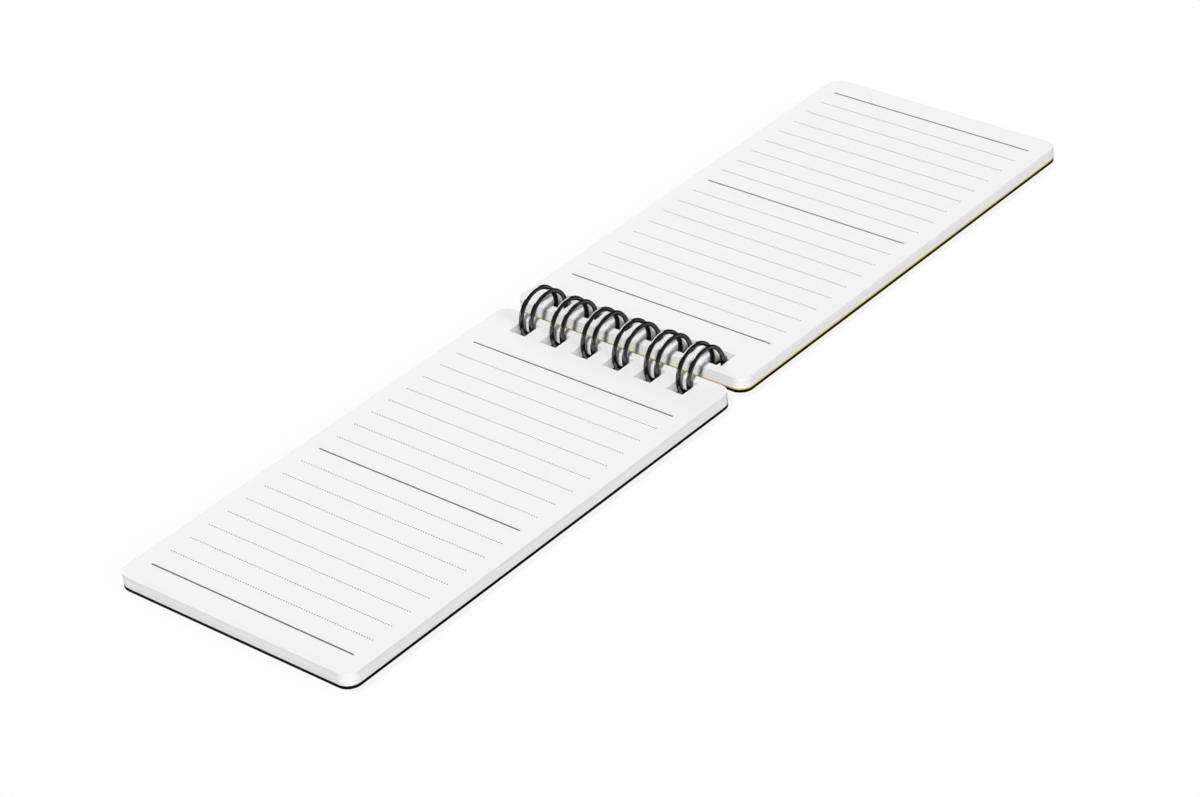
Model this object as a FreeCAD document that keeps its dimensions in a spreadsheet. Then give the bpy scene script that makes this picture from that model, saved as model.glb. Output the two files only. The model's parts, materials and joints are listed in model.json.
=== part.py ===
import FreeCAD, Part
import os
import Sketcher

# Spiral notebook: a top-bound pocket pad that lies open and flat on its twin-loop wire.
# Frame: X runs along the spine, Y across it, Z up. The origin is under the ring axis, where the
# wire meets the table. The near half (-Y) is the back of the pad, the far half (+Y) its front.

# The driving dimensions, in millimetres and degrees. What is worked out from them follows below.
SIZES = [
    ("sheet_width", 61.75, "sheets and covers, along the spine"),
    ("sheet_length", 115.5, "sheets and covers, from spine edge to outer edge"),
    ("corner_radius", 3.0, "rounded corners of every sheet and cover"),
    ("back_stack", 2.75, "thickness of the pages on the near half"),
    ("front_stack", 2.45, "thickness of the turned pages on the far half"),
    ("lining_gauge", 0.3, "coloured lining sheet inside the front cover"),
    ("cover_gauge", 0.7, "board of both covers"),
    ("spine_gap", 3.3, "gap between the spine edges of the two halves"),
    ("page_drop", 0.04, "open pages lie this far under the ring axis, so that they close face to face"),
    ("loop_pitch", 25.4 / 3, "three loops to the inch"),
    ("loop_count", 6, "loops of the wire"),
    ("twin_spacing", 2.72, "centre to centre of the two wires of a loop"),
    ("wire_diameter", 1.0, "coated wire"),
    ("ring_clearance", 0.07, "between the inside of the ring and the covers' holes"),
    ("side_clearance", 0.39, "between a loop and each side of its hole"),
    ("hole_margin", 2.1, "strip of sheet between the holes and the spine edge"),
    ("hole_length", 5.1, "holes, across the spine"),
    ("link_bend_radius", 1.0, "bend from a loop into the link to the next one"),
    ("seam_clearance", 0.1, "between the tip of a loop and the bends beside it"),
]
DERIVED = [
    ("half_gap", "=spine_gap / 2"),
    ("hole_width", "=twin_spacing + wire_diameter + 2 * side_clearance"),
    ("hole_start", "=spine_gap / 2 + hole_margin"),
    ("cover_depth", "=page_drop + max(back_stack; front_stack + lining_gauge) + cover_gauge"),
    ("ring_radius", "=sqrt(hole_start^2 + cover_depth^2) + ring_clearance + wire_diameter / 2"),
    ("first_loop", "=-loop_pitch * (loop_count - 1) / 2"),
    ("bend_centre", "=twin_spacing / 2 + link_bend_radius"),
    ("tip_setback", "=sqrt((bend_centre + wire_diameter + seam_clearance)^2 - bend_centre^2)"),
    ("tip_angle", "=asin(tip_setback / ring_radius)"),
    ("tip_depth", "=ring_radius * cos(tip_angle) + twin_spacing / 2 * sin(tip_angle)"),
    ("axis_height", "=max(ring_radius; tip_depth) + wire_diameter / 2"),
    ("page_top", "=axis_height - page_drop"),
]


def make_sizes(doc):
    """The spreadsheet that every sketch and feature reads its sizes from."""
    sheet = doc.addObject("Spreadsheet::Sheet", "Sizes")
    row = 1
    for alias, value, note in SIZES:
        sheet.set(f"A{row}", note)
        sheet.set(f"B{row}", repr(value))
        sheet.setAlias(f"B{row}", alias)
        row += 1
    doc.recompute()
    for alias, formula in DERIVED:
        sheet.set(f"A{row}", alias.replace("_", " "))
        sheet.set(f"B{row}", formula)
        sheet.setAlias(f"B{row}", alias)
        doc.recompute()
        row += 1
    return sheet


def new_body(doc, node):
    """An empty body whose label is the node's name."""
    body = doc.addObject("PartDesign::Body", node)
    body.Label = node
    return body


def origin_item(body, role):
    """One of the body's own origin planes or axes, found by its role."""
    return next(item for item in body.Origin.OriginFeatures if item.Role == role)


def new_sketch(body, name, role):
    """A sketch on one of the body's origin planes."""
    sketch = body.newObject("Sketcher::SketchObject", name)
    sketch.AttachmentSupport = [(origin_item(body, role), "")]
    sketch.MapMode = "FlatFace"
    return sketch


def bind(sketch, constraint, name, formula):
    """Adds a named dimension to a sketch and ties it to the spreadsheet."""
    index = sketch.addConstraint(constraint)
    sketch.renameConstraint(index, name)
    sketch.setExpression(f"Constraints.{name}", formula)


def add_rectangle(sketch, width, length, start):
    """A rectangle centred on the sketch's vertical axis, from start to start + length."""
    sheet = sketch.Document.Sizes
    right = sheet.get(width) / 2
    low = sheet.get(start)
    high = low + sheet.get(length)
    corners = [(-right, low), (right, low), (right, high), (-right, high)]
    for index, corner in enumerate(corners):
        following = corners[(index + 1) % 4]
        sketch.addGeometry(Part.LineSegment(FreeCAD.Vector(*corner, 0), FreeCAD.Vector(*following, 0)))
    for index in range(4):
        sketch.addConstraint(Sketcher.Constraint("Coincident", index, 2, (index + 1) % 4, 1))
    sketch.addConstraint(Sketcher.Constraint("Horizontal", 2))
    for index in (1, 3):
        sketch.addConstraint(Sketcher.Constraint("Vertical", index))
    sketch.addConstraint(Sketcher.Constraint("Symmetric", 0, 1, 0, 2, -2))
    bind(sketch, Sketcher.Constraint("DistanceX", 0, 1, 0, 2, 2 * right), "width", f"Sizes.{width}")
    bind(sketch, Sketcher.Constraint("DistanceY", 1, 1, 1, 2, high - low), "length", f"Sizes.{length}")
    bind(sketch, Sketcher.Constraint("DistanceY", -1, 1, 0, 1, low), "start", f"Sizes.{start}")


def repeat_along_spine(body, name, feature=None):
    """Repeats one feature, or the whole body so far, once for each loop of the wire."""
    pattern = body.newObject("PartDesign::LinearPattern", name)
    if feature:
        pattern.Originals = [feature]
    else:
        pattern.TransformMode = "Whole shape"
    pattern.Direction = (origin_item(body, "X_Axis"), [""])
    pattern.Mode = "Spacing"
    pattern.setExpression("Offset", "Sizes.loop_pitch")
    pattern.setExpression("Occurrences", "Sizes.loop_count")
    body.Tip = pattern
    body.Document.recompute()


def make_sheet(doc, node, gauge, underside, turn):
    """A sheet, block of sheets or cover: rounded corners and one square hole for each loop.

    It is drawn beside the ring axis, from the spine edge outwards along +Y, and turned about Z
    into its half of the open pad.
    """
    body = new_body(doc, node)
    outline = new_sketch(body, f"{node}_outline", "XY_Plane")
    add_rectangle(outline, "sheet_width", "sheet_length", "half_gap")
    pad = body.newObject("PartDesign::Pad", f"{node}_pad")
    pad.Profile = outline
    pad.setExpression("Length", f"Sizes.{gauge}")
    doc.recompute()

    fillet = body.newObject("PartDesign::Fillet", f"{node}_corners")
    edges = pad.Shape.Edges
    upright = [i for i, e in enumerate(edges) if abs(e.tangentAt(e.FirstParameter).z) > 0.99]
    fillet.Base = (pad, [f"Edge{i + 1}" for i in upright])
    fillet.setExpression("Radius", "Sizes.corner_radius")
    doc.recompute()

    hole = new_sketch(body, f"{node}_hole", "XY_Plane")
    add_rectangle(hole, "hole_width", "hole_length", "hole_start")
    hole.setExpression("AttachmentOffset.Base.x", "Sizes.first_loop")
    pocket = body.newObject("PartDesign::Pocket", f"{node}_punch")
    pocket.Profile = hole
    pocket.Type = "ThroughAll"
    pocket.Reversed = True
    body.Tip = pocket
    doc.recompute()
    repeat_along_spine(body, f"{node}_holes", pocket)

    body.Placement = FreeCAD.Placement(FreeCAD.Vector(), FreeCAD.Rotation(FreeCAD.Vector(0, 0, 1), turn))
    body.setExpression("Placement.Base.z", underside)
    doc.recompute()
    return body


def add_wire_section(sketch, across, up):
    """The wire's round section, with its centre at the given formulas in the sketch."""
    x = sketch.evalExpression(across)
    y = sketch.evalExpression(up)
    diameter = sketch.evalExpression("Sizes.wire_diameter")
    circle = Part.Circle(FreeCAD.Vector(-x, -y, 0), FreeCAD.Vector(0, 0, 1), diameter / 2)
    sketch.addGeometry(circle)
    bind(sketch, Sketcher.Constraint("Diameter", 0, diameter), "diameter", "Sizes.wire_diameter")
    bind(sketch, Sketcher.Constraint("DistanceX", 0, 3, -1, 1, x), "across", across)
    bind(sketch, Sketcher.Constraint("DistanceY", 0, 3, -1, 1, y), "up", up)


def revolve(body, name, sketch, axis, angle, reverse=False):
    """Turns a wire section about one of its sketch's axes, which bends the wire round it."""
    bend = body.newObject("PartDesign::Revolution", name)
    bend.Profile = sketch
    bend.ReferenceAxis = (sketch, [axis])
    bend.Reversed = reverse
    bend.setExpression("Angle", angle)
    body.Document.recompute()
    return bend


def make_wire(doc, node):
    """The twin-loop wire: one length of wire, bent to and fro into loops and closed round the sheets.

    Half a loop is followed from the middle of the link before it, round the ring and back to the
    middle of its tip. It is mirrored into a whole loop, which is repeated along the spine, so that
    each link ends where the next begins, and the first and last half links are the wire's cut ends.
    """
    body = new_body(doc, node)
    link_sketch = new_sketch(body, "link_section", "YZ_Plane")
    link_sketch.setExpression("AttachmentOffset.Base.z", "-Sizes.loop_pitch / 2")
    add_wire_section(link_sketch, "Sizes.link_bend_radius", "Sizes.ring_radius")
    link = body.newObject("PartDesign::Pad", "half_link")
    link.Profile = link_sketch
    link.setExpression("Length", "Sizes.loop_pitch / 2 - Sizes.bend_centre")
    doc.recompute()

    bend_sketch = new_sketch(body, "bend_section", "YZ_Plane")
    bend_sketch.setExpression("AttachmentOffset.Base.z", "-Sizes.bend_centre")
    add_wire_section(bend_sketch, "Sizes.link_bend_radius", "Sizes.ring_radius")
    revolve(body, "link_bend", bend_sketch, "V_Axis", "90 deg")

    ring_sketch = new_sketch(body, "ring_section", "XZ_Plane")
    add_wire_section(ring_sketch, "Sizes.twin_spacing / 2", "Sizes.ring_radius")
    revolve(body, "half_ring", ring_sketch, "H_Axis", "360 deg - Sizes.tip_angle")

    tip_sketch = new_sketch(body, "tip_section", "XZ_Plane")
    tip_sketch.AttachmentOffset = FreeCAD.Placement(
        FreeCAD.Vector(), FreeCAD.Rotation(FreeCAD.Vector(1, 0, 0), 1.0)
    )
    tip_sketch.setExpression("AttachmentOffset.Rotation.Angle", "-Sizes.tip_angle")
    add_wire_section(tip_sketch, "Sizes.twin_spacing / 2", "Sizes.ring_radius")
    revolve(body, "half_tip", tip_sketch, "V_Axis", "90 deg", reverse=True)

    loop = body.newObject("PartDesign::Mirrored", "whole_loop")
    loop.TransformMode = "Whole shape"
    loop.MirrorPlane = (origin_item(body, "YZ_Plane"), [""])
    body.Tip = loop
    doc.recompute()
    repeat_along_spine(body, "all_loops")

    body.setExpression("Placement.Base.x", "Sizes.first_loop")
    body.setExpression("Placement.Base.z", "Sizes.axis_height")
    doc.recompute()
    return body


def make_parts(doc):
    """Every piece of the pad, from the table upwards on each side."""
    make_sizes(doc)
    near, far = 180, 0
    back_of_pages = "Sizes.page_top - Sizes.back_stack"
    front_of_pages = "Sizes.page_top - Sizes.front_stack"
    return [
        make_sheet(doc, "back_cover", "cover_gauge", f"{back_of_pages} - Sizes.cover_gauge", near),
        make_sheet(doc, "back_pages", "back_stack", back_of_pages, near),
        make_sheet(
            doc, "front_cover", "cover_gauge",
            f"{front_of_pages} - Sizes.lining_gauge - Sizes.cover_gauge", far,
        ),
        make_sheet(doc, "yellow_lining", "lining_gauge", f"{front_of_pages} - Sizes.lining_gauge", far),
        make_sheet(doc, "front_pages", "front_stack", front_of_pages, far),
        make_wire(doc, "wire_binding"),
    ]


def check_model(doc, bodies):
    """Stops with an error if any object of the document failed or a piece isn't one valid solid."""
    failed = [item.Name for item in doc.Objects if {"Invalid", "Error"} & set(item.State)]
    if failed:
        raise RuntimeError(f"not computed: {failed}")
    for body in bodies:
        shape = body.Shape
        if shape.isNull() or not shape.isValid() or len(shape.Solids) != 1:
            raise RuntimeError(f"{body.Label} is not one valid solid")


def main():
    doc = FreeCAD.newDocument("notebook")
    bodies = make_parts(doc)
    check_model(doc, bodies)
    os.makedirs("parts", exist_ok=True)
    for body in bodies:
        body.Shape.exportStep(f"parts/{body.Label}.step")
        box = body.Shape.BoundBox
        print(
            f"{body.Label}: {body.Shape.Volume:.1f} mm3, "
            f"x {box.XMin:.2f} {box.XMax:.2f}, y {box.YMin:.2f} {box.YMax:.2f}, z {box.ZMin:.3f} {box.ZMax:.3f}"
        )


main()
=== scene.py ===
import json
import math

import bpy
from bpy.props import FloatProperty, FloatVectorProperty, IntProperty, PointerProperty
from mathutils import Matrix, Vector


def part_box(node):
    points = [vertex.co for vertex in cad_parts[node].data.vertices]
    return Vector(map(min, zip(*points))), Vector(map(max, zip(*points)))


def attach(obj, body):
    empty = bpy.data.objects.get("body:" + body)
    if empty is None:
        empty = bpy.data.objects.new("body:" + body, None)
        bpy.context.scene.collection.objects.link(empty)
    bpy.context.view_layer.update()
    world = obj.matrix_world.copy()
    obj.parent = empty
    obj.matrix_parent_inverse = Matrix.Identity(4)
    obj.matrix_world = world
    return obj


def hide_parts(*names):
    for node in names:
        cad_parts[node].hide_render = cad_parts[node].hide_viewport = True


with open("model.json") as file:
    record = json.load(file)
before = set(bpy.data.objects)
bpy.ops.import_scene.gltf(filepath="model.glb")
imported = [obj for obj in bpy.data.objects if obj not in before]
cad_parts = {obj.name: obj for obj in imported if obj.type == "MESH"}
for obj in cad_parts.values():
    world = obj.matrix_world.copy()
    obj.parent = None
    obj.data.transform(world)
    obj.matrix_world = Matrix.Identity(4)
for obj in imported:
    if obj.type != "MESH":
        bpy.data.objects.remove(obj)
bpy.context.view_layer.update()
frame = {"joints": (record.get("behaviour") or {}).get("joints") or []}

bl_info = {
    "name": "Spiral notebook",
    "version": (1, 0, 0),
    "blender": (4, 5, 0),
    "location": "3D View > Sidebar > Notebook",
    "description": "Leaves, print, boards and twin-loop wire of an open top-bound pocket notebook",
    "category": "Add Mesh",
}

MM = 0.001

# Bodies of the frame.
BACK_HALF = "back_half"
BACK_COVER = "back_cover"
FRONT_PAGES = "front_pages"
FRONT_COVER = "front_cover"

# Seeds of the two uneven stacks.
NEAR_SEED = 3
FAR_SEED = 8

# Directions of the lamps, from the pad.
KEY_FROM = (0.54, -1.0, 1.15)
FILL_FROM = (1.0, -0.1, 0.35)
BACK_FROM = (-0.7, 0.7, 0.2)

# Places and sizes of the two light cards, in metres.
LEFT_CARD_AT = (-0.67, 0.34, 0.49)
LEFT_CARD_SIZE = (0.9, 0.3)
FRONT_CARD_AT = (-0.6, -0.66, 0.1)
FRONT_CARD_SIZE = (0.22, 0.2)
CARD_WATTS = 4.0


def node_size(node, axis):
    """How far a node of the frame reaches along one axis, in metres."""
    low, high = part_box(node)
    return high[axis] - low[axis]


RING_AXIS = frame["joints"][0]["pos_m"][2]
WIRE_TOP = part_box("wire_binding")[1].z
SPINE_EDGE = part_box("front_pages")[0].y
PAGE_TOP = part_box("front_pages")[1].z
SHEET_WIDTH = node_size("front_pages", 0)
SHEET_LENGTH = node_size("front_pages", 1)


def length(name, description, default):
    """A size in metres, shown in the scene's length unit."""
    return FloatProperty(
        name=name, description=description, default=default,
        min=0.0, precision=5, unit="LENGTH", subtype="DISTANCE",
    )


def colour(name, description, default):
    """A linear colour with its swatch."""
    return FloatVectorProperty(
        name=name, description=description, default=default,
        size=3, min=0.0, max=1.0, subtype="COLOR",
    )


class NotebookSheets(bpy.types.PropertyGroup):
    """Sizes of the leaves, boards and lining, and of the holes punched through them."""

    corner_radius: length("Corner radius", "Rounded corners of every sheet", 3.0 * MM)
    hole_width: length("Hole width", "Holes, along the spine", 4.5 * MM)
    hole_length: length("Hole length", "Holes, across the spine", 5.1 * MM)
    hole_margin: length("Hole margin", "Strip between the holes and the spine edge", 2.1 * MM)
    near_leaves: IntProperty(
        name="Near leaves", description="Leaves of the near half", default=28, min=1,
    )
    far_leaves: IntProperty(
        name="Far leaves", description="Leaves of the far half", default=25, min=1,
    )
    leaf_share: FloatProperty(
        name="Leaf share", description="Share of each leaf's pitch that is paper, the rest is air",
        default=0.86, min=0.1, max=1.0, subtype="FACTOR",
    )
    leaf_shift: length("Leaf shift", "How far a leaf may lie off the stack's true edge", 0.03 * MM)
    board_edge: length("Board edge", "Softened edge of the cover boards", 0.06 * MM)
    lining_edge: length("Lining edge", "Softened edge of the lining sheet", 0.03 * MM)


class NotebookPrint(bpy.types.PropertyGroup):
    """The printed rules: solid ones, with rows of dots between them."""

    rule_length: length("Rule length", "Every rule, along the spine", 53.55 * MM)
    rule_pitch: length("Rule pitch", "From one rule to the next", 5.278 * MM)
    first_rule: length("First rule", "From the spine edge to the first rule", 14.55 * MM)
    rule_count: IntProperty(name="Rules", description="Rules on a page", default=19, min=1)
    solid_every: IntProperty(
        name="Solid every", description="Every so many rules is solid", default=9, min=1,
    )
    rule_width: length("Rule width", "Thickness of a solid rule", 0.37 * MM)
    dot_diameter: length("Dot diameter", "Dots of a dotted rule", 0.325 * MM)
    dots: IntProperty(name="Dots", description="Dots in a dotted rule", default=80, min=2)
    ink_height: length("Ink height", "How far the ink stands on the paper", 0.006 * MM)


class NotebookWire(bpy.types.PropertyGroup):
    """The twin-loop wire."""

    diameter: length("Diameter", "Coated wire", 1.0 * MM)
    twin_spacing: length("Twin spacing", "Between the two wires of a loop", 2.72 * MM)
    pitch: length("Pitch", "From one loop to the next", 25.4 / 3 * MM)
    loops: IntProperty(name="Loops", description="Loops of the wire", default=6, min=1)
    bend_radius: length("Bend radius", "From a loop into the link to the next one", 1.0 * MM)
    seam_clearance: length("Seam clearance", "Between a loop's tip and the bends beside it", 0.1 * MM)
    core_diameter: length("Core diameter", "Bare metal at the two cut ends", 0.82 * MM)
    sides: IntProperty(name="Sides", description="Faces round the wire", default=16, min=6)
    ring_steps: IntProperty(
        name="Ring steps", description="Straight steps round each ring", default=84, min=12,
    )


class NotebookColours(bpy.types.PropertyGroup):
    """Colours of the finishes, as linear values."""

    paper: colour("Paper", "Leaves", (0.9, 0.9, 0.9))
    ink: colour("Ink", "Printed rules", (0.05, 0.05, 0.05))
    lining: colour("Lining", "Sheet inside the front cover", (0.74, 0.59, 0.11))
    board: colour("Board", "Covers", (0.004, 0.004, 0.0043))
    coat: colour("Coat", "Black metal finish of the wire", (0.13, 0.13, 0.132))
    steel: colour("Steel", "Cut ends of the wire", (0.16, 0.16, 0.165))
    floor: colour("Floor", "Plain floor", (0.22, 0.22, 0.22))


class NotebookStage(bpy.types.PropertyGroup):
    """Floor, lights and camera."""

    floor_size: length("Floor size", "Side of the square floor", 6.0)
    floor_keeps: FloatProperty(
        name="Floor keeps", description="Share of the lamps' light that the seen floor shows",
        default=0.12, min=0.0, max=1.0, subtype="FACTOR",
    )
    sky: FloatProperty(name="Sky", description="Even light from all round", default=0.05, min=0.0)
    ceiling: FloatProperty(
        name="Ceiling", description="How bright a mirror sees the surround overhead",
        default=0.12, min=0.0,
    )
    key: FloatProperty(name="Key", description="Lamp from the front, half way up", default=1.0, min=0.0)
    key_spread: FloatProperty(
        name="Key spread", description="How wide the key lamp looks",
        default=math.radians(6), subtype="ANGLE",
    )
    fill: FloatProperty(name="Fill", description="Wide lamp from the right", default=0.44, min=0.0)
    fill_spread: FloatProperty(
        name="Fill spread", description="How wide the fill and back lamps look",
        default=math.radians(40), subtype="ANGLE",
    )
    back: FloatProperty(name="Back", description="Weak lamp from the back left", default=0.3, min=0.0)
    cards: FloatProperty(
        name="Cards", description="How bright the left light card looks in gloss", default=24.0, min=0.0,
    )
    front_card: FloatProperty(
        name="Front card", description="Brightness of the front light card, as a share of the left's",
        default=0.4, min=0.0,
    )
    aim_x: FloatProperty(
        name="Aim X", description="What the camera looks at", default=9.94 * MM, unit="LENGTH",
    )
    aim_y: FloatProperty(
        name="Aim Y", description="What the camera looks at", default=-18.92 * MM, unit="LENGTH",
    )
    distance: length("Distance", "From the camera to what it looks at", 744.7 * MM)
    azimuth: FloatProperty(
        name="Azimuth", description="Camera's turn round the pad",
        default=math.radians(42.59), subtype="ANGLE",
    )
    elevation: FloatProperty(
        name="Elevation", description="Camera's height angle",
        default=math.radians(32.56), subtype="ANGLE",
    )
    roll: FloatProperty(
        name="Roll", description="Camera's lean to the side",
        default=math.radians(-5.70), subtype="ANGLE",
    )
    lens: FloatProperty(name="Lens", description="Focal length in millimetres", default=109.81, min=1.0)


class NodeTree:
    """A node tree that is filled node by node."""

    def __init__(self, tree):
        self.tree = tree

    def add(self, kind, inputs=None, **settings):
        """Adds a node, applies its settings, and links or sets the inputs given by name or place."""
        node = self.tree.nodes.new(kind)
        for name, value in settings.items():
            setattr(node, name, value)
        for key, value in (inputs or {}).items():
            if isinstance(value, bpy.types.NodeSocket):
                self.tree.links.new(value, node.inputs[key])
            else:
                node.inputs[key].default_value = value
        return node

    def math(self, operation, first, second):
        """Adds a math node and gives its result."""
        return self.add("ShaderNodeMath", {0: first, 1: second}, operation=operation).outputs[0]

    def vector(self, x=0.0, y=0.0, z=0.0):
        """Adds a vector made of three values."""
        return self.add("ShaderNodeCombineXYZ", {0: x, 1: y, 2: z}).outputs[0]


def link(item):
    """Puts an object into the scene and gives it back."""
    bpy.context.scene.collection.objects.link(item)
    return item


def geometry_tree(name, inputs, takes_geometry=False):
    """A Geometry Nodes tree with named inputs. Gives the tree, its input sockets and its output."""
    tree = bpy.data.node_groups.new(name, "GeometryNodeTree")
    if takes_geometry:
        tree.interface.new_socket("Geometry", in_out="INPUT", socket_type="NodeSocketGeometry")
    for label, kind in inputs:
        tree.interface.new_socket(label, in_out="INPUT", socket_type="NodeSocket" + kind)
    tree.interface.new_socket("Geometry", in_out="OUTPUT", socket_type="NodeSocketGeometry")
    sockets = tree.nodes.new("NodeGroupInput").outputs
    return NodeTree(tree), sockets, tree.nodes.new("NodeGroupOutput").inputs["Geometry"]


def finish_geometry(nodes, result, material, output):
    """Ends a tree: real geometry instead of instances, with its material."""
    real = nodes.add("GeometryNodeRealizeInstances", {"Geometry": result})
    painted = nodes.add("GeometryNodeSetMaterial", {"Geometry": real.outputs[0], "Material": material})
    nodes.tree.links.new(painted.outputs[0], output)


def run_tree(nodes, values, name, source=None):
    """Runs a tree on a source object or an empty mesh, and gives the result as a plain mesh object."""
    if source is None:
        source = bpy.data.objects.new(name + "_source", bpy.data.meshes.new(name + "_source"))
    link(source)
    modifier = source.modifiers.new(name, "NODES")
    modifier.node_group = nodes.tree
    for item in nodes.tree.interface.items_tree:
        if item.in_out == "INPUT" and item.name in values:
            modifier[item.identifier] = values[item.name]
    graph = bpy.context.evaluated_depsgraph_get()
    mesh = bpy.data.meshes.new_from_object(
        source.evaluated_get(graph), preserve_all_data_layers=True, depsgraph=graph
    )
    bpy.data.objects.remove(source)
    mesh.name = name
    return link(bpy.data.objects.new(name, mesh))


def sheet_tree():
    """Sheets with rounded corners and a row of square holes, stacked upwards and slightly uneven."""
    nodes, given, output = geometry_tree("Punched sheets", [
        ("Width", "Float"), ("Length", "Float"), ("Spine Edge", "Float"), ("Corner Radius", "Float"),
        ("Hole Width", "Float"), ("Hole Length", "Float"), ("Hole Start", "Float"),
        ("Hole Pitch", "Float"), ("Holes", "Int"), ("Thickness", "Float"), ("Sheets", "Int"),
        ("Sheet Pitch", "Float"), ("Underside", "Float"), ("Shift", "Float"), ("Seed", "Int"),
        ("Way", "Vector"), ("Material", "Material"),
    ])
    add = nodes.add
    middle = nodes.math("ADD", given["Spine Edge"], nodes.math("MULTIPLY", given["Length"], 0.5))
    outline = add(
        "GeometryNodeCurvePrimitiveQuadrilateral", {"Width": given["Width"], "Height": given["Length"]}
    )
    rounded = add("GeometryNodeFilletCurve", {
        "Curve": outline.outputs[0], "Radius": given["Corner Radius"], "Count": 10,
        "Limit Radius": True,
    }, mode="POLY")
    placed = add(
        "GeometryNodeTransform", {"Geometry": rounded.outputs[0], "Translation": nodes.vector(y=middle)}
    )
    hole = add(
        "GeometryNodeCurvePrimitiveQuadrilateral",
        {"Width": given["Hole Width"], "Height": given["Hole Length"]},
    )
    reach = nodes.math("MULTIPLY", nodes.math("SUBTRACT", given["Holes"], 1.0), given["Hole Pitch"])
    half_hole = nodes.math("MULTIPLY", given["Hole Length"], 0.5)
    hole_middle = nodes.math("ADD", given["Hole Start"], half_hole)
    places = add("GeometryNodeMeshLine", {
        "Count": given["Holes"],
        "Start Location": nodes.vector(nodes.math("MULTIPLY", reach, -0.5), hole_middle),
        "Offset": nodes.vector(given["Hole Pitch"]),
    })
    holes = add("GeometryNodeInstanceOnPoints", {
        "Points": places.outputs[0], "Instance": hole.outputs[0],
    })
    edges = add("GeometryNodeJoinGeometry", {"Geometry": placed.outputs[0]})
    nodes.tree.links.new(holes.outputs[0], edges.inputs[0])
    real_edges = add("GeometryNodeRealizeInstances", {"Geometry": edges.outputs[0]})
    flat = add("GeometryNodeFillCurve", {"Curve": real_edges.outputs[0]}, mode="TRIANGLES")
    raised = add("GeometryNodeExtrudeMesh", {
        "Mesh": flat.outputs[0], "Offset": (0.0, 0.0, 1.0), "Offset Scale": given["Thickness"],
        "Individual": False,
    }, mode="FACES")
    under = add("GeometryNodeFlipFaces", {"Mesh": flat.outputs[0]})
    shell = add("GeometryNodeJoinGeometry", {"Geometry": raised.outputs[0]})
    nodes.tree.links.new(under.outputs[0], shell.inputs[0])
    closed = add("GeometryNodeMergeByDistance", {"Geometry": shell.outputs[0], "Distance": 0.001 * MM})
    levels = add("GeometryNodeMeshLine", {
        "Count": given["Sheets"],
        "Start Location": nodes.vector(z=given["Underside"]),
        "Offset": nodes.vector(z=given["Sheet Pitch"]),
    })
    back = nodes.math("MULTIPLY", given["Shift"], -1.0)
    stray = add("FunctionNodeRandomValue", {
        0: nodes.vector(back, back), 1: nodes.vector(given["Shift"], given["Shift"]),
        "Seed": given["Seed"],
    }, data_type="FLOAT_VECTOR")
    uneven = add("GeometryNodeSetPosition", {"Geometry": levels.outputs[0], "Offset": stray.outputs[0]})
    tone = add("FunctionNodeRandomValue", {"Seed": given["Seed"]}, data_type="FLOAT")
    toned = add("GeometryNodeStoreNamedAttribute", {
        "Geometry": uneven.outputs[0], "Name": "leaf_tone", "Value": tone.outputs[1],
    }, data_type="FLOAT", domain="POINT")
    stack = add("GeometryNodeInstanceOnPoints", {
        "Points": toned.outputs[0], "Instance": closed.outputs[0],
    })
    turned = add("GeometryNodeTransform", {"Geometry": stack.outputs[0], "Scale": given["Way"]})
    finish_geometry(nodes, turned.outputs[0], given["Material"], output)
    return nodes


def rules_tree():
    """Printed rules: every so many is a solid bar, and the others are rows of round dots."""
    nodes, given, output = geometry_tree("Printed rules", [
        ("Rule Length", "Float"), ("Rule Width", "Float"), ("Rule Pitch", "Float"),
        ("First Rule", "Float"), ("Rules", "Int"), ("Solid Every", "Float"), ("Dots", "Int"),
        ("Dot Diameter", "Float"), ("Ink Height", "Float"), ("Paper", "Float"), ("Way", "Vector"),
        ("Material", "Material"),
    ])
    add = nodes.add
    half_ink = nodes.math("MULTIPLY", given["Ink Height"], 0.5)
    rows = add("GeometryNodeMeshLine", {
        "Count": given["Rules"],
        "Start Location": nodes.vector(
            0.0, given["First Rule"], nodes.math("ADD", given["Paper"], half_ink)
        ),
        "Offset": nodes.vector(0.0, given["Rule Pitch"]),
    })
    index = add("GeometryNodeInputIndex").outputs[0]
    remainder = nodes.math("MODULO", index, given["Solid Every"])
    is_solid = nodes.math("LESS_THAN", remainder, 0.5)
    is_dotted = nodes.math("GREATER_THAN", remainder, 0.5)
    bar = add("GeometryNodeMeshCube", {
        "Size": nodes.vector(given["Rule Length"], given["Rule Width"], given["Ink Height"]),
    })
    bars = add("GeometryNodeInstanceOnPoints", {
        "Points": rows.outputs[0], "Selection": is_solid, "Instance": bar.outputs[0],
    })
    dot = add("GeometryNodeMeshCylinder", {
        "Vertices": 10,
        "Radius": nodes.math("MULTIPLY", given["Dot Diameter"], 0.5),
        "Depth": given["Ink Height"],
    })
    span = nodes.math("SUBTRACT", given["Rule Length"], given["Dot Diameter"])
    step = nodes.math("DIVIDE", span, nodes.math("SUBTRACT", given["Dots"], 1.0))
    places = add("GeometryNodeMeshLine", {
        "Count": given["Dots"],
        "Start Location": nodes.vector(nodes.math("MULTIPLY", span, -0.5)),
        "Offset": nodes.vector(step),
    })
    row = add("GeometryNodeInstanceOnPoints", {"Points": places.outputs[0], "Instance": dot.outputs[0]})
    dotted = add("GeometryNodeInstanceOnPoints", {
        "Points": rows.outputs[0], "Selection": is_dotted, "Instance": row.outputs[0],
    })
    page = add("GeometryNodeJoinGeometry", {"Geometry": bars.outputs[0]})
    nodes.tree.links.new(dotted.outputs[0], page.inputs[0])
    turned = add("GeometryNodeTransform", {"Geometry": page.outputs[0], "Scale": given["Way"]})
    finish_geometry(nodes, turned.outputs[0], given["Material"], output)
    return nodes


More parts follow.
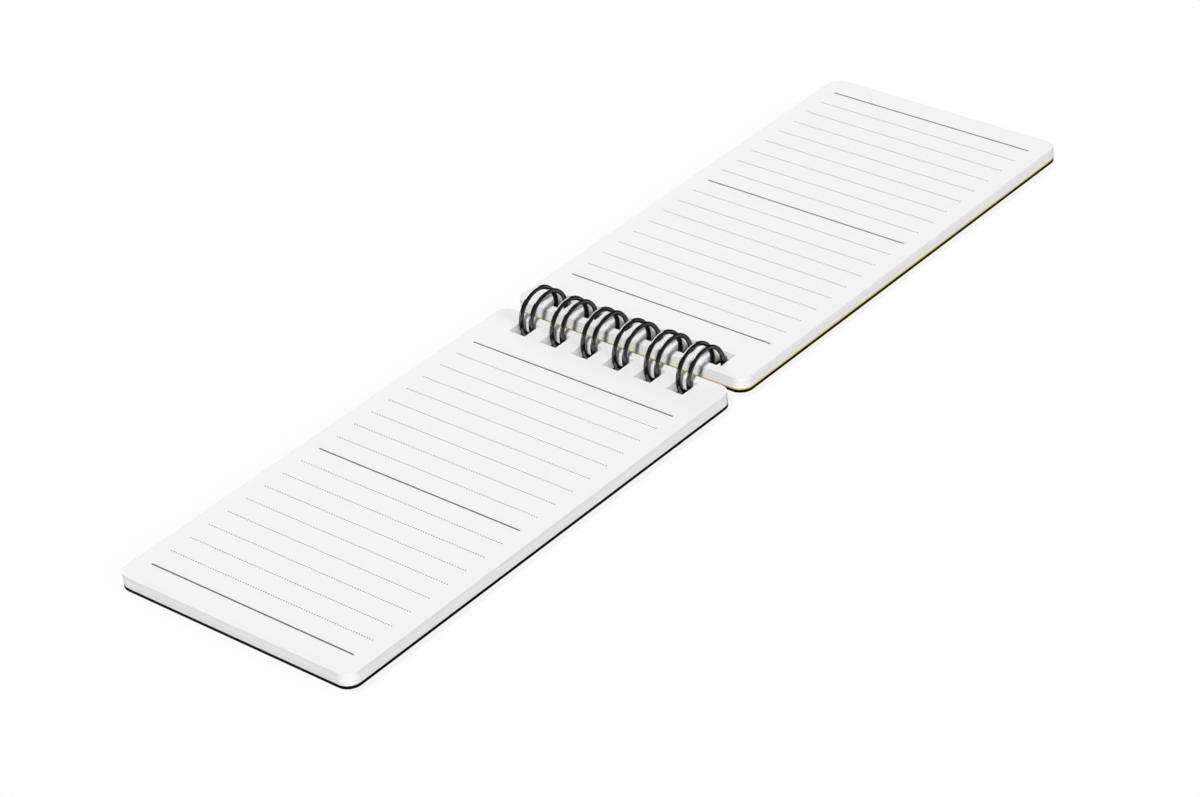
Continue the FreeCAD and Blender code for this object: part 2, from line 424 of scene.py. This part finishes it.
def tube_tree():
    """A round wire along a path."""
    nodes, given, output = geometry_tree(
        "Round wire", [("Radius", "Float"), ("Sides", "Int"), ("Material", "Material")],
        takes_geometry=True,
    )
    section = nodes.add("GeometryNodeCurvePrimitiveCircle", {
        "Radius": given["Radius"], "Resolution": given["Sides"],
    })
    tube = nodes.add("GeometryNodeCurveToMesh", {
        "Curve": given["Geometry"], "Profile Curve": section.outputs[0], "Fill Caps": True,
    })
    smooth = nodes.add("GeometryNodeSetShadeSmooth", {"Geometry": tube.outputs[0], "Shade Smooth": True})
    finish_geometry(nodes, smooth.outputs[0], given["Material"], output)
    return nodes


def grain_group():
    """Fine uneven grain for paper, board and coating: a tone and a height, from object coordinates."""
    name = "Fine grain"
    if name in bpy.data.node_groups:
        return bpy.data.node_groups[name]
    tree = bpy.data.node_groups.new(name, "ShaderNodeTree")
    tree.interface.new_socket("Position", in_out="INPUT", socket_type="NodeSocketVector")
    tree.interface.new_socket("Grain Size", in_out="INPUT", socket_type="NodeSocketFloat")
    tree.interface.new_socket("Stretch", in_out="INPUT", socket_type="NodeSocketVector")
    tree.interface.new_socket("Tone", in_out="OUTPUT", socket_type="NodeSocketFloat")
    tree.interface.new_socket("Height", in_out="OUTPUT", socket_type="NodeSocketFloat")
    nodes = NodeTree(tree)
    given = tree.nodes.new("NodeGroupInput").outputs
    output = tree.nodes.new("NodeGroupOutput").inputs
    place = nodes.add(
        "ShaderNodeVectorMath", {0: given["Position"], 1: given["Stretch"]}, operation="MULTIPLY"
    ).outputs[0]
    scale = nodes.math("DIVIDE", 1.0, given["Grain Size"])
    fine = nodes.add("ShaderNodeTexNoise", {
        "Vector": place, "Scale": scale, "Detail": 5.0, "Roughness": 0.6,
    })
    patches_to_grains = 40.0
    broad_scale = nodes.math("DIVIDE", scale, patches_to_grains)
    broad = nodes.add("ShaderNodeTexNoise", {"Vector": place, "Scale": broad_scale, "Detail": 3.0})
    tree.links.new(broad.outputs[0], output["Tone"])
    tree.links.new(fine.outputs[0], output["Height"])
    return tree


def new_material(name, base, roughness):
    """A material with its Principled shader, object coordinates and nodes to add to."""
    material = bpy.data.materials.new(name)
    material.use_nodes = True
    nodes = NodeTree(material.node_tree)
    shader = material.node_tree.nodes["Principled BSDF"]
    shader.inputs["Base Color"].default_value = (*base, 1.0)
    shader.inputs["Roughness"].default_value = roughness
    place = nodes.add("ShaderNodeTexCoord").outputs["Object"]
    return material, nodes, shader, place


def add_grain(nodes, place, size, stretch=(1.0, 1.0, 1.0)):
    """The fine grain of a material, with its outputs."""
    grain = nodes.add("ShaderNodeGroup", node_tree=grain_group())
    nodes.tree.links.new(place, grain.inputs["Position"])
    grain.inputs["Grain Size"].default_value = size
    grain.inputs["Stretch"].default_value = stretch
    return grain.outputs


def add_bump(nodes, shader, height, strength, distance):
    """Raises a material's surface by a height pattern."""
    bump = nodes.add("ShaderNodeBump", {"Height": height, "Strength": strength, "Distance": distance})
    nodes.tree.links.new(bump.outputs[0], shader.inputs["Normal"])


def tint(nodes, shader, base, factor, darkest):
    """Varies a material's colour between itself and a darker share of itself."""
    dark = [value * darkest for value in base]
    mix = nodes.add(
        "ShaderNodeMix", {"Factor": factor, 6: (*base, 1.0), 7: (*dark, 1.0)}, data_type="RGBA"
    )
    nodes.tree.links.new(mix.outputs[2], shader.inputs["Base Color"])


def roughen(nodes, shader, pattern, low, high):
    """Varies a material's roughness by a pattern from 0 to 1."""
    spread = nodes.add("ShaderNodeMapRange", {"Value": pattern, "To Min": low, "To Max": high})
    nodes.tree.links.new(spread.outputs[0], shader.inputs["Roughness"])


def paper_material(base):
    """Smooth white writing paper. On the edges of the stack each leaf has a tone of its own."""
    material, nodes, shader, place = new_material("writing_paper", base, roughness=0.7)
    shader.inputs["Specular IOR Level"].default_value = 0.05
    grain = add_grain(nodes, place, size=0.09 * MM)
    leaf = nodes.add("ShaderNodeAttribute", attribute_name="leaf_tone").outputs["Fac"]
    normal = nodes.add("ShaderNodeTexCoord").outputs["Normal"]
    up = nodes.add("ShaderNodeSeparateXYZ", {0: normal}).outputs["Z"]
    edge = nodes.math("SUBTRACT", 1.0, nodes.math("ABSOLUTE", up, 0.0))
    edge_share = 0.8
    face_share = 0.12
    edge_tone = nodes.math("MULTIPLY", nodes.math("MULTIPLY", leaf, edge), edge_share)
    face_tone = nodes.math("MULTIPLY", grain["Tone"], face_share)
    tint(nodes, shader, base, nodes.math("ADD", edge_tone, face_tone), darkest=0.86)
    add_bump(nodes, shader, grain["Height"], strength=0.12, distance=0.01 * MM)
    return material


def ink_material(base):
    """Grey offset ink, a little glossier than the paper."""
    material, nodes, shader, place = new_material("grey_ink", base, roughness=0.7)
    shader.inputs["Specular IOR Level"].default_value = 0.1
    grain = add_grain(nodes, place, size=0.05 * MM)
    tint(nodes, shader, base, grain["Height"], darkest=0.8)
    return material


def lining_material(base):
    """Dyed yellow paper with visible fibres."""
    material, nodes, shader, place = new_material("yellow_paper", base, roughness=0.68)
    grain = add_grain(nodes, place, size=0.16 * MM, stretch=(1.0, 0.5, 1.0))
    tint(nodes, shader, base, grain["Height"], darkest=0.82)
    add_bump(nodes, shader, grain["Height"], strength=0.25, distance=0.02 * MM)
    return material


def board_material(base):
    """Black dyed cover board with a fine pressed grain."""
    material, nodes, shader, place = new_material("black_board", base, roughness=0.7)
    shader.inputs["Specular IOR Level"].default_value = 0.04
    grain = add_grain(nodes, place, size=0.22 * MM)
    tint(nodes, shader, base, grain["Tone"], darkest=0.7)
    roughen(nodes, shader, grain["Height"], low=0.62, high=0.78)
    add_bump(nodes, shader, grain["Height"], strength=0.35, distance=0.03 * MM)
    return material


def coat_material(base):
    """Black nickel finish of the wire, with the slight unevenness of drawn wire and dark rims."""
    material, nodes, shader, place = new_material("black_wire_coat", base, roughness=0.14)
    shader.inputs["Metallic"].default_value = 1.0
    shader.inputs["Specular Tint"].default_value = (0.0, 0.0, 0.0, 1.0)
    grain = add_grain(nodes, place, size=0.6 * MM)
    tint(nodes, shader, base, grain["Tone"], darkest=0.6)
    roughen(nodes, shader, grain["Tone"], low=0.1, high=0.18)
    add_bump(nodes, shader, grain["Height"], strength=0.06, distance=0.02 * MM)
    return material


def steel_material(base):
    """Bare steel where the wire was cut, with shear marks."""
    material, nodes, shader, place = new_material("cut_steel", base, roughness=0.35)
    shader.inputs["Metallic"].default_value = 1.0
    marks = add_grain(nodes, place, size=0.05 * MM, stretch=(1.0, 1.0, 6.0))
    roughen(nodes, shader, marks["Height"], low=0.25, high=0.5)
    add_bump(nodes, shader, marks["Height"], strength=0.3, distance=0.01 * MM)
    return material


def half_way(near):
    """The near half is the far half turned half round, which is both X and Y reversed."""
    return (-1.0, -1.0, 1.0) if near else (1.0, 1.0, 1.0)


def make_sheets(context, name, node, near, count, share, shift, seed, material):
    """A stack of punched sheets in the place of one node of the frame.

    Share is how much of each sheet's pitch it fills, and shift how far it may lie off the true edge.
    """
    sheets = context.scene.notebook_sheets
    wire = context.scene.notebook_wire
    low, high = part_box(node)
    pitch = (high.z - low.z) / count
    thickness = pitch * share
    return run_tree(sheet_tree(), {
        "Width": SHEET_WIDTH - 2 * shift,
        "Length": SHEET_LENGTH - 2 * shift,
        "Spine Edge": SPINE_EDGE + shift,
        "Corner Radius": sheets.corner_radius,
        "Hole Width": sheets.hole_width,
        "Hole Length": sheets.hole_length,
        "Hole Start": SPINE_EDGE + sheets.hole_margin,
        "Hole Pitch": wire.pitch,
        "Holes": wire.loops,
        "Thickness": thickness,
        "Sheets": count,
        "Sheet Pitch": pitch,
        "Underside": low.z + pitch - thickness,
        "Shift": shift,
        "Seed": seed,
        "Way": half_way(near),
        "Material": material,
    }, name)


def make_single(context, name, node, near, material):
    """One punched sheet that fills its node of the frame."""
    return make_sheets(context, name, node, near, 1, share=1.0, shift=0.0, seed=0, material=material)


def soften_edges(piece, width):
    """Breaks the sharp edges of a board or sheet, so that they catch light."""
    bevel = piece.modifiers.new("softened edges", "BEVEL")
    bevel.width = width
    bevel.segments = 2
    bevel.limit_method = "ANGLE"
    bevel.angle_limit = math.radians(40)


def settle(piece, body, slot, *nodes):
    """Sets a finished piece on its body, in the place of the nodes that it stands for."""
    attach(piece, body)
    if nodes:
        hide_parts(*nodes)


class NOTEBOOK_OT_leaves(bpy.types.Operator):
    """Stack the leaves of both halves"""

    bl_idname = "notebook.leaves"
    bl_label = "Leaves"

    def execute(self, context):
        sheets = context.scene.notebook_sheets
        paper = paper_material(context.scene.notebook_colours.paper)
        share, shift = sheets.leaf_share, sheets.leaf_shift
        near = make_sheets(
            context, "near_leaves", "back_pages", True,
            sheets.near_leaves, share, shift, NEAR_SEED, paper,
        )
        far = make_sheets(
            context, "far_leaves", "front_pages", False,
            sheets.far_leaves, share, shift, FAR_SEED, paper,
        )
        settle(near, BACK_HALF, "page_paper", "back_pages")
        settle(far, FRONT_PAGES, "page_paper", "front_pages")
        return {"FINISHED"}


class NOTEBOOK_OT_print(bpy.types.Operator):
    """Print the rules on both open pages"""

    bl_idname = "notebook.print"
    bl_label = "Print"

    def execute(self, context):
        rules = context.scene.notebook_print
        ink = ink_material(context.scene.notebook_colours.ink)
        for name, body, near in (("near_rules", BACK_HALF, True), ("far_rules", FRONT_PAGES, False)):
            page = run_tree(rules_tree(), {
                "Rule Length": rules.rule_length,
                "Rule Width": rules.rule_width,
                "Rule Pitch": rules.rule_pitch,
                "First Rule": SPINE_EDGE + rules.first_rule,
                "Rules": rules.rule_count,
                "Solid Every": float(rules.solid_every),
                "Dots": rules.dots,
                "Dot Diameter": rules.dot_diameter,
                "Ink Height": rules.ink_height,
                "Paper": PAGE_TOP,
                "Way": half_way(near),
                "Material": ink,
            }, name)
            settle(page, body, "page_paper")
        return {"FINISHED"}


class NOTEBOOK_OT_covers(bpy.types.Operator):
    """Cut the two cover boards"""

    bl_idname = "notebook.covers"
    bl_label = "Covers"

    def execute(self, context):
        sheets = context.scene.notebook_sheets
        board = board_material(context.scene.notebook_colours.board)
        for name, node, body, near in (
            ("back_board", "back_cover", BACK_COVER, True),
            ("front_board", "front_cover", FRONT_COVER, False),
        ):
            cover = make_single(context, name, node, near, board)
            soften_edges(cover, sheets.board_edge)
            settle(cover, body, "cover_board", node)
        return {"FINISHED"}


class NOTEBOOK_OT_lining(bpy.types.Operator):
    """Lay the yellow lining sheet in the front cover"""

    bl_idname = "notebook.lining"
    bl_label = "Lining"

    def execute(self, context):
        paper = lining_material(context.scene.notebook_colours.lining)
        lining = make_single(context, "lining_sheet", "yellow_lining", False, paper)
        soften_edges(lining, context.scene.notebook_sheets.lining_edge)
        settle(lining, FRONT_COVER, "lining_paper", "yellow_lining")
        return {"FINISHED"}


def arc(centre, start, axis, angle, steps):
    """Points of an arc: start is turned about the axis through centre, a step at a time."""
    arm = Vector(start) - Vector(centre)
    return [
        Vector(centre) + Matrix.Rotation(angle * step / steps, 3, axis) @ arm
        for step in range(1, steps + 1)
    ]


def half_loop(wire, radius):
    """From the middle of the link before a loop, round its ring and back to the middle of its tip.

    The ring's axis is the X axis, and the loop stands about x = 0.
    """
    side = wire.twin_spacing / 2
    bend = wire.bend_radius
    bend_centre = side + bend
    gap = bend_centre + wire.diameter + wire.seam_clearance
    tip_angle = math.asin(math.sqrt(gap ** 2 - bend_centre ** 2) / radius)
    bend_steps = max(4, wire.ring_steps // 12)
    points = [Vector((-wire.pitch / 2, -bend, -radius)), Vector((-bend_centre, -bend, -radius))]
    points += arc((-bend_centre, 0, -radius), points[-1], Vector((0, 0, 1)), math.pi / 2, bend_steps)
    points += arc((-side, 0, 0), points[-1], Vector((1, 0, 0)), 2 * math.pi - tip_angle, wire.ring_steps)
    tip_end = points[-1]
    outward = Vector((0, tip_end.y, tip_end.z)).normalized()
    points += arc((0, tip_end.y, tip_end.z), tip_end, outward, math.pi / 2, bend_steps)
    return points


def wire_path(wire, radius):
    """The whole length of wire, from cut end to cut end."""
    half = half_loop(wire, radius)
    other = [Vector((-point.x, point.y, point.z)) for point in reversed(half[:-1])]
    first = -wire.pitch * (wire.loops - 1) / 2
    path = []
    for loop in range(wire.loops):
        move = Vector((first + loop * wire.pitch, 0, RING_AXIS))
        skip = 1 if path else 0
        path += [point + move for point in (half + other)[skip:]]
    return path


def path_object(name, points):
    """A curve of straight steps through the points."""
    curve = bpy.data.curves.new(name, "CURVE")
    curve.dimensions = "3D"
    spline = curve.splines.new("POLY")
    spline.points.add(len(points) - 1)
    for point, place in zip(spline.points, points):
        point.co = (*place, 1.0)
    return bpy.data.objects.new(name, curve)


class NOTEBOOK_OT_wire(bpy.types.Operator):
    """Bend the twin-loop wire"""

    bl_idname = "notebook.wire"
    bl_label = "Wire"

    def execute(self, context):
        wire = context.scene.notebook_wire
        colours = context.scene.notebook_colours
        radius = WIRE_TOP - RING_AXIS - wire.diameter / 2
        path = wire_path(wire, radius)
        coat = coat_material(colours.coat)
        binding = run_tree(
            tube_tree(), {"Radius": wire.diameter / 2, "Sides": wire.sides, "Material": coat},
            "coated_wire", path_object("wire_path", path),
        )
        settle(binding, BACK_HALF, "coated_wire", "wire_binding")

        steel = steel_material(colours.steel)
        sunk = 0.3 * MM
        proud = 0.01 * MM
        for name, end, way in (("left_cut_end", path[0], -1), ("right_cut_end", path[-1], 1)):
            core_path = [end - Vector((sunk * way, 0, 0)), end + Vector((proud * way, 0, 0))]
            core = run_tree(
                tube_tree(), {"Radius": wire.core_diameter / 2, "Sides": wire.sides, "Material": steel},
                name, path_object(name + "_path", core_path),
            )
            settle(core, BACK_HALF, "coated_wire")
        return {"FINISHED"}


def seen_in_gloss(nodes):
    """1 for rays that come by way of a mirror or glass."""
    path = nodes.add("ShaderNodeLightPath").outputs
    return nodes.math("MAXIMUM", path["Is Glossy Ray"], path["Is Transmission Ray"])


def seen_by_camera(nodes):
    """1 for rays that come straight from the camera."""
    return nodes.add("ShaderNodeLightPath").outputs["Is Camera Ray"]


def floor_material(base, keeps):
    """Pale floor that shows white to the camera and keeps a soft part of the pad's shadow."""
    material = bpy.data.materials.new("pale_floor")
    material.use_nodes = True
    material.node_tree.nodes.clear()
    nodes = NodeTree(material.node_tree)
    plain = nodes.add("ShaderNodeBsdfDiffuse", {"Color": (*base, 1.0)})
    shade = nodes.add("ShaderNodeBsdfDiffuse", {"Color": (keeps, keeps, keeps, 1.0)})
    white = nodes.add("ShaderNodeEmission", {"Strength": 1.0 - keeps})
    seen = nodes.add("ShaderNodeAddShader", {0: shade.outputs[0], 1: white.outputs[0]})
    directly = nodes.math("MAXIMUM", seen_by_camera(nodes), seen_in_gloss(nodes))
    mix = nodes.add("ShaderNodeMixShader", {0: directly, 1: plain.outputs[0], 2: seen.outputs[0]})
    nodes.add("ShaderNodeOutputMaterial", {"Surface": mix.outputs[0]})
    return material


def make_world(sky, ceiling):
    """Even light from all round. The camera sees it white, and gloss sees it darken overhead."""
    world = bpy.data.worlds.new("white_surround")
    world.use_nodes = True
    nodes = NodeTree(world.node_tree)
    horizon = 2.0 * ceiling
    ceiling_from = 0.5
    way = nodes.add("ShaderNodeTexCoord").outputs["Generated"]
    height = nodes.add("ShaderNodeSeparateXYZ", {0: way}).outputs["Z"]
    sweep = nodes.add("ShaderNodeMapRange", {
        "Value": height, "From Min": 0.0, "From Max": ceiling_from,
        "To Min": horizon, "To Max": ceiling,
    }, interpolation_type="SMOOTHSTEP").outputs[0]
    mirrored = nodes.add("ShaderNodeMix", {0: seen_in_gloss(nodes), 2: sky, 3: sweep}).outputs[0]
    strength = nodes.add("ShaderNodeMix", {0: seen_by_camera(nodes), 2: mirrored, 3: 1.0}).outputs[0]
    background = world.node_tree.nodes["Background"]
    background.inputs["Color"].default_value = (1.0, 1.0, 1.0, 1.0)
    nodes.tree.links.new(strength, background.inputs["Strength"])
    bpy.context.scene.world = world


def make_lamp(name, towards, strength, angle):
    """A far lamp in the given direction, which gloss doesn't show.

    At strength 1 it lights a white sheet that faces it as white.
    """
    data = bpy.data.lights.new(name, "SUN")
    data.energy = strength * math.pi
    data.angle = angle
    lamp = bpy.data.objects.new(name, data)
    lamp.rotation_euler = Vector(towards).to_track_quat("Z", "Y").to_euler()
    lamp.visible_glossy = False
    link(lamp)


def make_card(name, place, size, brightness):
    """A light card that faces the pad. Only gloss shows it, as the long lights on the rings."""
    place = Vector(place)
    width, height = size
    data = bpy.data.lights.new(name, "AREA")
    data.shape = "RECTANGLE"
    data.size = width
    data.size_y = height
    data.energy = CARD_WATTS * brightness * width * height
    card = bpy.data.objects.new(name, data)
    card.location = place
    card.rotation_euler = place.to_track_quat("Z", "Y").to_euler()
    card.visible_diffuse = False
    link(card)


def make_camera(stage):
    """The camera at the photograph's angle."""
    data = bpy.data.cameras.new("photo_camera")
    data.sensor_width = 36.0
    data.sensor_fit = "HORIZONTAL"
    data.lens = stage.lens
    data.clip_start = 0.01
    data.clip_end = 20.0
    camera = bpy.data.objects.new("photo_camera", data)
    ground = math.cos(stage.elevation)
    back = Vector((
        math.sin(stage.azimuth) * ground, -math.cos(stage.azimuth) * ground, math.sin(stage.elevation)
    ))
    aim = Vector((stage.aim_x, stage.aim_y, PAGE_TOP))
    turn = back.to_track_quat("Z", "Y").to_matrix() @ Matrix.Rotation(stage.roll, 3, "Z")
    camera.matrix_world = Matrix.Translation(aim + back * stage.distance) @ turn.to_4x4()
    bpy.context.scene.camera = link(camera)


class NOTEBOOK_OT_stage(bpy.types.Operator):
    """Set up the floor, the lights and the camera"""

    bl_idname = "notebook.stage"
    bl_label = "Stage"

    def execute(self, context):
        stage = context.scene.notebook_stage
        context.scene.view_settings.view_transform = "Standard"
        side = stage.floor_size / 2
        mesh = bpy.data.meshes.new("floor")
        corners = [(-side, -side, 0), (side, -side, 0), (side, side, 0), (-side, side, 0)]
        mesh.from_pydata(corners, [], [(0, 1, 2, 3)])
        mesh.materials.append(floor_material(context.scene.notebook_colours.floor, stage.floor_keeps))
        floor = link(bpy.data.objects.new("floor", mesh))
        make_world(stage.sky, stage.ceiling)
        make_lamp("key_lamp", KEY_FROM, stage.key, stage.key_spread)
        make_lamp("fill_lamp", FILL_FROM, stage.fill, stage.fill_spread)
        make_lamp("back_lamp", BACK_FROM, stage.back, stage.fill_spread)
        make_card("left_card", LEFT_CARD_AT, LEFT_CARD_SIZE, stage.cards)
        make_card("front_card", FRONT_CARD_AT, FRONT_CARD_SIZE, stage.cards * stage.front_card)
        make_camera(stage)
        return {"FINISHED"}


class NOTEBOOK_PT_panel(bpy.types.Panel):
    """Lists the pieces of the notebook and their sizes"""

    bl_label = "Notebook"
    bl_idname = "NOTEBOOK_PT_panel"
    bl_space_type = "VIEW_3D"
    bl_region_type = "UI"
    bl_category = "Notebook"

    def draw(self, context):
        layout = self.layout
        for operator in OPERATORS:
            layout.operator(operator.bl_idname)
        for name in GROUPS:
            group = getattr(context.scene, name)
            box = layout.box()
            box.label(text=name.replace("_", " "))
            for key in group.bl_rna.properties.keys():
                if key not in ("rna_type", "name"):
                    box.prop(group, key)


OPERATORS = (
    NOTEBOOK_OT_stage,
    NOTEBOOK_OT_leaves,
    NOTEBOOK_OT_print,
    NOTEBOOK_OT_covers,
    NOTEBOOK_OT_lining,
    NOTEBOOK_OT_wire,
)
GROUPS = {
    "notebook_sheets": NotebookSheets,
    "notebook_print": NotebookPrint,
    "notebook_wire": NotebookWire,
    "notebook_colours": NotebookColours,
    "notebook_stage": NotebookStage,
}


def register():
    """Adds the classes and the notebook's properties to the scene type."""
    for name, group in GROUPS.items():
        bpy.utils.register_class(group)
        setattr(bpy.types.Scene, name, PointerProperty(type=group))
    for operator in OPERATORS:
        bpy.utils.register_class(operator)
    bpy.utils.register_class(NOTEBOOK_PT_panel)


def unregister():
    """Takes away what register added."""
    bpy.utils.unregister_class(NOTEBOOK_PT_panel)
    for operator in reversed(OPERATORS):
        bpy.utils.unregister_class(operator)
    for name, group in GROUPS.items():
        delattr(bpy.types.Scene, name)
        bpy.utils.unregister_class(group)


def main():
    """Builds the whole notebook."""
    register()
    bpy.ops.notebook.stage()
    bpy.ops.notebook.leaves()
    bpy.ops.notebook.print()
    bpy.ops.notebook.covers()
    bpy.ops.notebook.lining()
    bpy.ops.notebook.wire()


if __name__ == "__main__":
    main()
